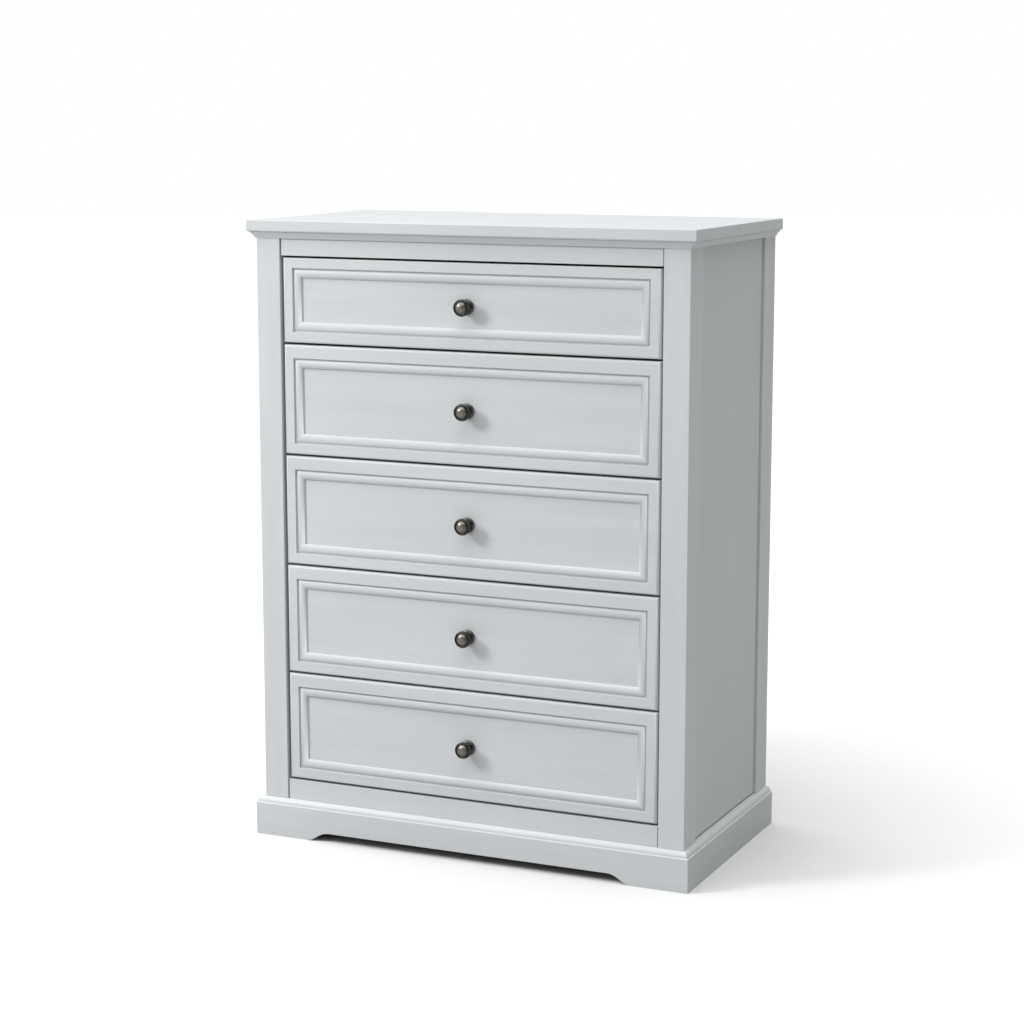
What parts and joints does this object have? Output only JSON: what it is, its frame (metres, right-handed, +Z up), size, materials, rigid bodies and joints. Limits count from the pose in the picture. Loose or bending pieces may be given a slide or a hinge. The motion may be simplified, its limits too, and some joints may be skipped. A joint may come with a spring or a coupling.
{
  "type": "tall chest of drawers",
  "caption": "Tall painted wooden chest with inset drawers that slide on side runners, a moulded overhanging top, framed sides and a plinth with bracket feet.",
  "frame": {"origin": "on the floor, under the middle of the overall bounding box, knobs included", "axes": "+Z up, the drawers' side faces -Y and they open along -Y, +X is the right-hand side seen from the front"},
  "size_m": [0.902, 0.494, 1.2],
  "materials": {
    "painted_wood": "satin pale blue-grey paint with the wood grain showing faintly",
    "drawer_wood": "clear-lacquered pale hardwood",
    "runner_wood": "bare waxed hardwood",
    "board": "bare plywood and softwood",
    "knob_metal": "antique pewter over turned metal, worn brighter on the rim"
  },
  "bodies": {
    "carcass": {"front_post_left": "painted_wood", "front_post_right": "painted_wood", "rear_post_left": "painted_wood", "rear_post_right": "painted_wood", "side_panel_left": "painted_wood", "side_panel_right": "painted_wood", "top_panel": "painted_wood", "top_moulding_front": "painted_wood", "top_moulding_left": "painted_wood", "top_moulding_right": "painted_wood", "top_rail": "painted_wood", "bottom_rail": "painted_wood", "plinth_front": "painted_wood", "plinth_left": "painted_wood", "plinth_right": "painted_wood", "rear_top_rail": "board", "rear_bottom_rail": "board", "plinth_rear": "board", "bottom_panel": "board", "back_panel": "board", "runner_1_left": "runner_wood", "runner_1_right": "runner_wood", "runner_2_left": "runner_wood", "runner_2_right": "runner_wood", "runner_3_left": "runner_wood", "runner_3_right": "runner_wood", "runner_4_left": "runner_wood", "runner_4_right": "runner_wood", "runner_5_left": "runner_wood", "runner_5_right": "runner_wood"},
    "drawer_1": {"drawer_1_front": "painted_wood", "drawer_1_side_left": "drawer_wood", "drawer_1_side_right": "drawer_wood", "drawer_1_back": "drawer_wood", "drawer_1_bottom": "board", "drawer_1_knob": "knob_metal"},
    "drawer_2": {"drawer_2_front": "painted_wood", "drawer_2_side_left": "drawer_wood", "drawer_2_side_right": "drawer_wood", "drawer_2_back": "drawer_wood", "drawer_2_bottom": "board", "drawer_2_knob": "knob_metal"},
    "drawer_3": {"drawer_3_front": "painted_wood", "drawer_3_side_left": "drawer_wood", "drawer_3_side_right": "drawer_wood", "drawer_3_back": "drawer_wood", "drawer_3_bottom": "board", "drawer_3_knob": "knob_metal"},
    "drawer_4": {"drawer_4_front": "painted_wood", "drawer_4_side_left": "drawer_wood", "drawer_4_side_right": "drawer_wood", "drawer_4_back": "drawer_wood", "drawer_4_bottom": "board", "drawer_4_knob": "knob_metal"},
    "drawer_5": {"drawer_5_front": "painted_wood", "drawer_5_side_left": "drawer_wood", "drawer_5_side_right": "drawer_wood", "drawer_5_back": "drawer_wood", "drawer_5_bottom": "board", "drawer_5_knob": "knob_metal"}
  },
  "joints": [
    {"name": "drawer_1_slide", "type": "slide", "parent": "carcass", "child": "drawer_1", "axis": [0, -1, 0], "range_m": [0, 0.32]},
    {"name": "drawer_2_slide", "type": "slide", "parent": "carcass", "child": "drawer_2", "axis": [0, -1, 0], "range_m": [0, 0.32]},
    {"name": "drawer_3_slide", "type": "slide", "parent": "carcass", "child": "drawer_3", "axis": [0, -1, 0], "range_m": [0, 0.32]},
    {"name": "drawer_4_slide", "type": "slide", "parent": "carcass", "child": "drawer_4", "axis": [0, -1, 0], "range_m": [0, 0.32]},
    {"name": "drawer_5_slide", "type": "slide", "parent": "carcass", "child": "drawer_5", "axis": [0, -1, 0], "range_m": [0, 0.32]}
  ]
}
